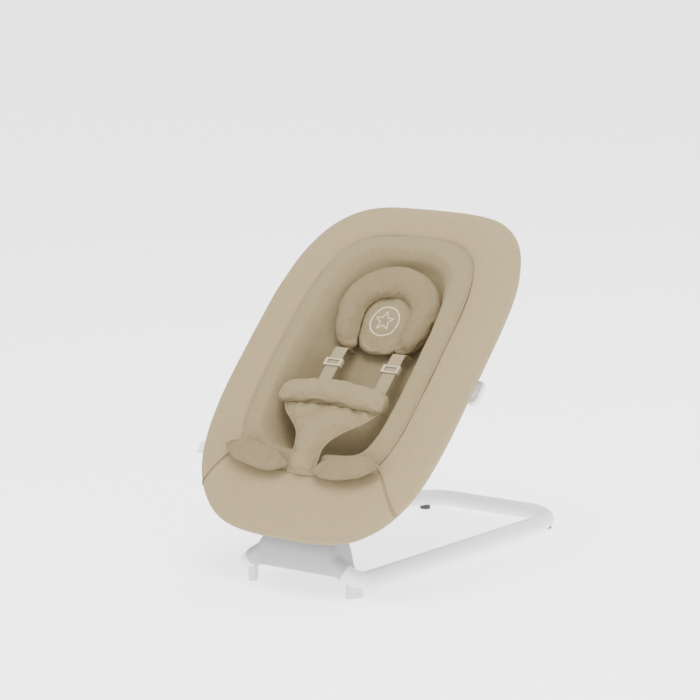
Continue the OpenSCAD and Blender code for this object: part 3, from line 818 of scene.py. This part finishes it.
@dataclass
class HeadPad:
    """The horseshoe head ring, its inner panel and the stitched motif."""

    seat: Seat
    finishes: Finishes
    place_u: float = 416.0
    place_m: float = 95.0
    turn: float = math.radians(7.5)
    motif_r: float = 27.0
    motif_v: float = -19.0
    star_points: int = 5
    panel_half: Tuple[float, float] = (49.0, 55.0)
    panel_low: float = -22.0
    panel_thick: float = 16.5
    panel_v: float = -20.0

    def local(self, p: np.ndarray) -> np.ndarray:
        """Points given across, up and out of the pad, to the frame."""
        c, s = math.cos(self.turn), math.sin(self.turn)
        x, v, n = p[..., 0], p[..., 1], p[..., 2]
        return self.seat.world(np.stack([x, self.place_u + v * c - n * s,
                                         self.place_m + v * s + n * c], -1))

    def build(self) -> None:
        """Make the ring, the panel and the motif."""
        arm = [(-44, -72), (-57, -55), (-68, -26), (-69, 8), (-53, 35), (-24, 50)]
        path = smooth_path([*arm, (0, 54), *((-x, v) for x, v in reversed(arm))], 140)
        end = 1 - 0.72 * np.abs(np.linspace(-1, 1, len(path))) ** 7
        tangent = np.gradient(path, axis=0)
        tangent /= np.linalg.norm(tangent, axis=1)[:, None]
        side = np.stack([tangent[:, 1], -tangent[:, 0]], -1)
        sec = oval(25.5, 18.0, 56, 2.2)
        flat = path[:, None] + side[:, None] * (sec[None, :, 0] * end[:, None])[..., None]
        height = -6.0 + sec[None, :, 1] * end[:, None]
        grid = rumple(np.concatenate([flat, height[..., None]], -1), 1.6, 42.0, 11)
        ring = cushion("head_ring_pad", self.local(grid), Filling(), (0, -1), (0, 28))
        dress(ring, self.finishes.get("pad"), "cloth_sand_light", "seat", "head_ring", fill=0.75)
        obj = cushion("head_panel_pad", self.local(rumple(self.puff(), 0.8, 50.0, 12)),
                      Filling(pressure=2.0, ease=0.02, cap=2.5 * MM), (28, -1))
        dress(obj, self.finishes.get("liner"), "cloth_sand_light", "seat", "head_disc",
              fill=0.5)
        self.motif(obj)
        LOG.info("head pad: ring, panel and motif")

    def puff(self) -> np.ndarray:
        """Rings of the low domed panel, from the middle of its face to that of its back."""
        rows = smooth_path([(0.02, 1), (0.4, 0.99), (0.7, 0.93), (0.9, 0.75), (0.99, 0.5),
                            (1, 0.35), (0.97, 0.15), (0.85, 0.02), (0.5, 0), (0.02, 0)], 60)
        flat = rows[:, None, :1] * oval(1, 1, 120, 2.7)[None] * np.array(self.panel_half)
        height = np.broadcast_to(self.panel_low + self.panel_thick * rows[:, 1][:, None],
                                 flat.shape[:2])
        return np.concatenate([flat + np.array([0.0, self.panel_v]), height[..., None]], -1)

    def laid(self, flat: np.ndarray, panel: bpy.types.Object) -> np.ndarray:
        """Points given across and up, dropped on the panel's face.

        Args:
            flat: across and up, in millimetres.
            panel: the panel's object.

        Returns:
            Points in the frame, in metres.
        """
        face = BVHTree.FromPolygons([v.co for v in panel.data.vertices],
                                    [p.vertices for p in panel.data.polygons])
        start = self.local(np.concatenate([flat, np.full((len(flat), 1), 30.0)], -1))
        way = Vector(self.local(np.array([0, 0, -1.0])) - self.local(np.zeros(3))).normalized()
        hits = []
        for p in start:
            hit = face.ray_cast(Vector(p), way)[0]
            hits.append(Vector(p) + way * 30 * MM if hit is None else hit)
        return np.array(hits)

    def motif(self, panel: bpy.types.Object) -> None:
        """A stitched ring round a plain five-pointed star, raised on the panel."""
        t = np.linspace(0, 2 * np.pi, 160, endpoint=False)
        ring = np.stack([self.motif_r * np.cos(t), self.motif_v + self.motif_r * np.sin(t)], -1)
        number = np.arange(2 * self.star_points + 1)
        corner = number * np.pi / self.star_points + np.pi / 2
        reach = np.where(number % 2 == 0, 0.66, 0.30) * self.motif_r
        star = np.stack([reach * np.cos(corner), self.motif_v + reach * np.sin(corner)], -1)
        line = resampled(star, number, np.linspace(0, number[-1], 201)[:-1])
        out = tuple(self.local(np.array([0, 0, 1.0])) - self.local(np.zeros(3)))
        for name, flat, half_a, half_b in (("motif_ring", ring, 1.3, 0.9),
                                           ("motif_star", line, 1.0, 0.8)):
            obj = sweep(name, self.laid(flat, panel), oval(half_a, half_b, 10) * MM, out,
                        closed=True)
            dress(obj, self.finishes.get("thread"), "cloth_sand", "seat")


@dataclass
class Harness:
    """Belly bar, crotch pad, leg pads and straps."""

    seat: Seat
    finishes: Finishes
    bar_half: float = 102.0
    bar_u: float = 223.0
    bar_m: float = 132.0
    strap_w: float = 25.0
    strap_t: float = 1.6
    strap_x: float = 57.0

    def bar(self) -> None:
        """The padded belly bar, bowed away from the seat."""
        s = np.linspace(-1, 1, 90)
        s = np.sin(s * np.pi / 2)
        full = 0.45 + 0.55 * np.sqrt(np.clip(1 - np.abs(s) ** 12, 0, 1))
        sec = oval(19, 13, 48, 2.9)[::-1]
        x = np.broadcast_to(self.bar_half * s[:, None], (90, 48))
        u = self.bar_u - 6 * s[:, None] ** 2 + sec[None, :, 0] * full[:, None]
        m = self.bar_m - 12 * s[:, None] ** 2 + sec[None, :, 1] * full[:, None]
        grid = rumple(np.stack([x, u, m], -1), 1.2, 40.0, 21)
        obj = cushion("belly_bar_pad", self.seat.world(grid),
                      Filling(ease=0.03, cap=4 * MM), (0, -1), (0, 24))
        dress(obj, self.finishes.get("liner"), "cloth_sand", "seat", "belly_bar", fill=0.7)

    def crotch(self) -> None:
        """The crotch pad: wide under the bar, sweeping in to a narrow base."""
        rows = smooth_path([(74, 25, 110), (86, 25, 118), (104, 25, 122), (116, 25, 124),
                            (130, 29, 124), (144, 36, 122), (157, 47, 120), (170, 62, 118),
                            (184, 78, 117), (202, 91, 115)], 70)
        sec = oval(1, 1, 64, 2.6)
        run = np.linspace(-1, 1, 70)
        full = 0.45 + 0.55 * np.sqrt(np.clip(1 - np.abs(run) ** 10, 0, 1))
        x = rows[:, 1:2] * sec[None, :, 0]
        m = rows[:, 2:3] + 7 * full[:, None] * sec[None, :, 1] + 5 * (1 - sec[None, :, 0] ** 2)
        u = np.broadcast_to(rows[:, :1], x.shape)
        grid = rumple(np.stack([x, u, m], -1), 1.0, 45.0, 23)
        obj = cushion("crotch_pad_cloth", self.seat.world(grid),
                      Filling(pressure=3.0, ease=0.04, cap=4 * MM), (0, -1), (0, 32))
        dress(obj, self.finishes.get("liner"), "cloth_sand", "seat", "crotch_pad", fill=0.45)
        for name, side in SIDES:
            path = np.stack([side * (rows[:, 1] + 0.6), rows[:, 0], rows[:, 2]], -1)
            cord(f"crotch_piping_{name}", self.seat.world(path), 1.9, self.seat.out(),
                 self.finishes.get("piping"))

    def leg_pads(self) -> None:
        """Two lens-shaped rolls on the front edge of the liner."""
        s = np.linspace(-1, 1, 80)
        s = np.sin(s * np.pi / 2)
        full = np.clip(1 - np.abs(s) ** 2.3, 0.002, 1) ** 0.8
        sec = oval(1, 1, 48, 2.2)[::-1]
        for name, side in SIDES:
            x = np.broadcast_to((88 + 64 * s)[:, None], (80, 48))
            u = 88 + 9 * s[:, None] + 22 * full[:, None] * sec[None, :, 0]
            m = 128 + 4.5 * s[:, None] + 12.5 * full[:, None] * sec[None, :, 1]
            grid = rumple(np.stack([x, u, m], -1), 1.0, 38.0, 31)
            grid = grid * np.array([side, 1, 1])
            obj = cushion(f"leg_pad_{name}_cloth", self.seat.world(grid),
                          Filling(cap=4 * MM), (0, -1), (0, 24))
            dress(obj, self.finishes.get("pad"), "cloth_sand_light", "seat",
                  f"leg_pad_{name}", fill=0.7)

    def straps(self) -> None:
        """Shoulder straps, from behind the bar through the sliders to the head pad."""
        sec = oval(self.strap_w / 2, self.strap_t / 2, 24, 8.0) * MM
        for name, side in SIDES:
            x = side * self.strap_x
            path = smooth_path([(x, 240.6, 115.5), (x, 247, 100), (x, 258, 91.8),
                                (x, 296, 89.8), (x, 332, 87.9), (x, 339.5, 82), (x, 342, 74),
                                (x, 344.6, 62)], 70)
            obj = sweep(f"shoulder_strap_{name}", self.seat.world(path), sec, (0, -0.3, 1))
            nodes = ("shoulder_straps",) if side < 0 else ()
            dress(obj, self.finishes.get("tape"), "webbing", "seat", *nodes)

    def build(self) -> None:
        """Make every harness piece."""
        self.bar()
        self.crotch()
        self.leg_pads()
        self.straps()
        LOG.info("harness: bar, crotch pad, leg pads and straps")


@dataclass
class Base:
    """The bent tube, the feet and the bridge."""

    finishes: Finishes
    shift: float = -286.90
    tube_r: float = 14.0
    front: Tuple[float, float, float] = (112.0, 0.0, 29.0)
    rear: Tuple[float, float, float] = (146.0, 602.0, 20.0)
    front_bend: float = 34.0
    rear_bend: float = 66.0
    plug: float = 14.0
    riser: Tuple[float, float, float] = (-0.83, 0.10, 0.545)

    def front_bend_lines(self) -> Tuple[np.ndarray, np.ndarray, float]:
        """Directions at the right front bend.

        Returns:
            The way up to the bridge, the way along the side to the rear, and the distance
            from the bend's corner to its arc.
        """
        riser = np.array(self.riser)
        riser /= np.linalg.norm(riser)
        along = np.array(self.rear) - np.array(self.front)
        along /= np.linalg.norm(along)
        turn = math.acos(float(-along @ riser))
        return riser, along, self.front_bend * math.tan(turn / 2)

    def corner(self, p: np.ndarray, d: np.ndarray, e: np.ndarray, bend: float,
               count: int) -> np.ndarray:
        """Points of a bend: an arc that leaves along d and arrives along e."""
        turn = math.acos(float(d @ e))
        inward = e - (e @ d) * d
        inward /= np.linalg.norm(inward)
        centre = p - bend * math.tan(turn / 2) * d + bend * inward
        t = np.linspace(0, turn, count)[:, None]
        return centre - bend * np.cos(t) * inward + bend * np.sin(t) * d

    def block(self, name: str, rows: Sequence[Sequence[float]],
              square: float) -> bpy.types.Object:
        """A loft up the Z axis: rows of height, half width, front and back."""
        data = smooth_path(rows, 46)
        sec = oval(1, 1, 160, square)
        mid = (data[:, 2] + data[:, 3]) / 2
        half = (data[:, 3] - data[:, 2]) / 2
        grid = np.stack([sec[None, :, 0] * data[:, 1:2],
                         mid[:, None] + sec[None, :, 1] * half[:, None] + self.shift,
                         np.broadcast_to(data[:, :1], (46, 160))], -1)
        return grid_object(name, grid * MM, caps=True)

    def bridge(self, half_path: np.ndarray) -> None:
        """The moulded bridge, with a socket round each tube end, open behind and below."""
        parts = [self.block("bridge_body", [(37, 93, -9, 36), (38, 94.5, -12, 38),
                                            (54, 86.5, -11, 44), (72, 77.5, -7, 50),
                                            (89, 69, 2, 51), (100, 63.5, 15, 50),
                                            (105, 60, 28, 48)], 7.0)]
        socket = resampled(half_path, run_along(half_path), np.linspace(0, 25, 20))
        socket += np.array([0, self.shift, 0])
        for side in (-1, 1):
            parts.append(sweep("bridge_socket", socket * np.array([side, 1, 1]) * MM,
                               oval(15.6, 15.6, 48) * MM, (0, 0, 1)))
        shape = melted(joined("bridge_shell", parts), 1.5 * MM, 14)
        inner = self.block("bridge_inside", [(28, 82, -3, 90), (42, 79, -5, 90),
                                             (54, 73, -6, 90), (72, 72, -3, 90),
                                             (88, 64, 6, 90), (99, 57, 20, 90),
                                             (101.5, 54, 30, 90)], 9.0)
        cut = shape.modifiers.new("hollow", "BOOLEAN")
        cut.object = inner
        cut.operation = "DIFFERENCE"
        cut.solver = "EXACT"
        baked(shape)
        bpy.data.objects.remove(inner)
        dress(shape, self.finishes.get("bridge"), "plastic_grey", "base", "bridge_cover")

    def feet(self) -> None:
        """The two front feet, turned with the bend of the tube."""
        riser, along, reach = self.front_bend_lines()
        both = riser + along
        spot = np.array(self.front) + 0.62 * reach * both / np.linalg.norm(both)
        rows = smooth_path([(0, 0.80), (0.4, 0.93), (1.6, 1.0), (8, 1.0), (19, 1.0),
                            (26, 0.92)], 30)
        sec = oval(6.5, 14, 64, 5.0)
        turn = math.radians(-24)
        c, s = math.cos(turn), math.sin(turn)
        flat = rows[:, None, 1:] * sec[None]
        x = spot[0] + flat[..., 0] * c - flat[..., 1] * s
        y = spot[1] + self.shift + flat[..., 0] * s + flat[..., 1] * c
        grid = np.stack([x, y, np.broadcast_to(rows[:, :1], x.shape)], -1) * MM
        for name, side in SIDES:
            obj = grid_object(f"front_foot_{name}_block", grid * np.array([side, 1, 1]),
                              caps=True)
            dress(obj, self.finishes.get("light"), "plastic_light", "base",
                  f"front_foot_{name}")

    def tube(self) -> np.ndarray:
        """The tube, swept from one end in the bridge to the other.

        Returns:
            The right half of the tube's path, from its end in the bridge, in millimetres.
        """
        front, rear = np.array(self.front), np.array(self.rear)
        riser, side, reach = self.front_bend_lines()
        seam = front + (reach + self.plug) * riser
        bend_a = self.corner(front, -riser, side, self.front_bend, 28)
        bend_b = self.corner(rear, side, np.array([-1.0, 0, 0]), self.rear_bend, 28)
        straight = bend_a[-1] + np.linspace(0, 1, 30)[1:-1, None] * (bend_b[0] - bend_a[-1])
        half = np.concatenate([[seam], bend_a, straight, bend_b])
        path = np.concatenate([half, half[::-1] * np.array([-1, 1, 1])])
        path += np.array([0, self.shift, 0])
        obj = sweep("base_tube_steel", path * MM, oval(self.tube_r, self.tube_r, 48) * MM,
                    (0, 0, 1))
        dress(obj, self.finishes.get("tube"), "powder_light", "base", "base_tube")
        return half

    def build(self) -> None:
        """Make the tube, the bridge and the feet."""
        self.bridge(self.tube())
        self.feet()
        LOG.info("base: tube, bridge and front feet")


@dataclass
class Release:
    """The squeeze tabs under the rim, and the blank label on the left seam."""

    seat: Seat
    finishes: Finishes
    place_x: float = 207.0
    place_u: float = 303.0
    low_m: float = 47.0
    high_m: float = 60.0

    def build(self) -> None:
        """Make the two tabs and the label."""
        rows = smooth_path([(0.02, 0), (0.7, 0.02), (0.93, 0.12), (1, 0.35), (1, 0.65),
                            (0.95, 0.88), (0.8, 0.98), (0.02, 1)], 40)
        sec = oval(10, 10, 96)
        sec = sec + np.stack([np.zeros(96), 13 * np.sign(sec[:, 1])], -1)
        flat = rows[:, None, :1] * sec[None]
        height = np.broadcast_to(self.low_m + (self.high_m - self.low_m) * rows[:, 1:],
                                 flat.shape[:2])
        stem = np.array([(-6, -12), (6, -12), (6, 12), (-6, 12)], float)
        web = np.array([(-6, -12), (14, -12), (14, 12), (-6, 12)], float)
        for name, side in SIDES:
            grid = np.concatenate([flat + np.array([self.place_x, self.place_u]),
                                   height[..., None]], -1) * np.array([side, 1, 1])
            pad = grid_object("tab_pad", self.seat.world(grid), caps=True)
            boxes = [pad]
            for outline, bottom, top in ((stem, 54.0, 74.0), (web, 53.0, 60.0)):
                low = np.concatenate([outline + np.array([196, self.place_u]),
                                      np.full((4, 1), bottom)], -1)
                high = low + np.array([0, 0, top - bottom])
                boxes.append(grid_object("tab_stem", self.seat.world(
                    np.stack([low, high]) * np.array([side, 1, 1])), caps=True))
            obj = joined(f"release_tab_{name}", boxes)
            obj.data.shade_smooth()
            dress(obj, self.finishes.get("white"), "plastic_white", f"trigger_{name}_body",
                  f"trigger_{name}")
        path = np.array([(-211, 101, 100.0), (-216, 101, 100.4), (-221, 101, 99.8),
                         (-225.8, 101, 98.4)])
        sec = oval(11, 0.5, 24, 8.0) * MM
        obj = sweep("label_tab_cloth", self.seat.world(smooth_path(path, 24)), sec,
                    self.seat.out())
        dress(obj, self.finishes.get("label"), "label_white", "seat", "label_tab")
        LOG.info("release: tabs and label")


@dataclass
class Hardware:
    """The CAD nodes that stay as they are and get a finish."""

    finishes: Finishes
    slots: Dict[str, str] = field(default_factory=lambda: {
        "powder_light": "tube", "plastic_grey": "bridge", "plastic_dark": "dark",
        "plastic_light": "light", "rubber_dark": "rubber", "steel": "steel",
        "plastic_white": "white", "cloth_sand": "cover", "cloth_sand_light": "pad",
        "webbing": "tape", "label_white": "label"})

    def build(self) -> None:
        """Give each CAD node the finish of its record slot."""
        for part in frame["record"]["subparts"]:
            obj = frame["nodes"][part["node"]]
            name = self.slots[part["material_slot"]]
            if part["node"].startswith("slider"):
                name = "buckle"
            material = self.finishes.get(name)
            for number in range(len(obj.material_slots)):
                obj.material_slots[number].material = material
            if not obj.material_slots:
                obj.data.materials.append(material)


@dataclass
class Studio:
    """Floor, lights and camera."""

    azimuth: float = math.radians(34.0)
    elevation: float = math.radians(11.0)
    distance: float = 4.84
    lens: float = 154.3
    aim: Tuple[float, float, float] = (0.0, -0.26490, 0.250)
    aim_right: float = 0.073
    aim_up: float = 0.142
    backdrop: float = 1.6
    half_floor: float = 60.0

    def camera(self) -> None:
        """Place the camera at the photograph's angle."""
        a, e = self.azimuth, self.elevation
        right = Vector((math.cos(a), math.sin(a), 0))
        back = Vector((math.sin(a) * math.cos(e), -math.cos(a) * math.cos(e), math.sin(e)))
        up = back.cross(right)
        target = Vector(self.aim) + right * self.aim_right + up * self.aim_up
        data = bpy.data.cameras.new("camera")
        data.lens = self.lens
        data.sensor_width = 36.0
        data.clip_end = 40.0
        obj = link(bpy.data.objects.new("camera", data))
        obj.location = target + back * self.distance
        obj.rotation_euler = back.to_track_quat("Z", "Y").to_euler()
        bpy.context.scene.camera = obj

    def area(self, name: str, place: Tuple[float, float, float], size: float,
             power: float) -> None:
        """A soft square light that looks at the seat."""
        data = bpy.data.lights.new(name, "AREA")
        data.shape = "SQUARE"
        data.size = size
        data.energy = power
        obj = link(bpy.data.objects.new(name, data))
        obj.location = place
        obj.rotation_euler = (Vector(place) - Vector((0, 0, 0.25))).to_track_quat(
            "Z", "Y").to_euler()

    def build(self) -> None:
        """Make the stage."""
        self.camera()
        world = bpy.data.worlds.new("world")
        world.use_nodes = True
        world.node_tree.nodes["Background"].inputs[0].default_value = (1, 1, 1, 1)
        world.node_tree.nodes["Background"].inputs[1].default_value = self.backdrop
        bpy.context.scene.world = world
        half = self.half_floor
        floor = grid_object("floor", np.array([[[-half, -half, 0], [half, -half, 0]],
                                               [[-half, half, 0], [half, half, 0]]]),
                            wrap=False)
        sh = Shader("floor")
        sh.send(Base_Color=(0.92, 0.92, 0.92), Roughness=0.9, Emission_Strength=self.backdrop,
                Emission_Color=(1.0, 1.0, 1.0))
        floor.data.materials.append(sh.material)
        self.area("key", (0.5, -1.1, 3.2), 1.6, 120.0)
        self.area("fill", (2.8, -1.8, 1.4), 2.0, 30.0)
        self.area("back", (0.2, 2.4, 2.8), 2.0, 50.0)


def main() -> None:
    """Build every sub-assembly in order."""
    logging.basicConfig(level=logging.INFO, format="%(name)s: %(message)s")
    finishes = Finishes()
    seat = Seat()
    Studio().build()
    Hardware(finishes).build()
    Base(finishes).build()
    Upholstery(seat, finishes).build()
    HeadPad(seat, finishes).build()
    Harness(seat, finishes).build()
    Release(seat, finishes).build()


if __name__ == "__main__":
    main()
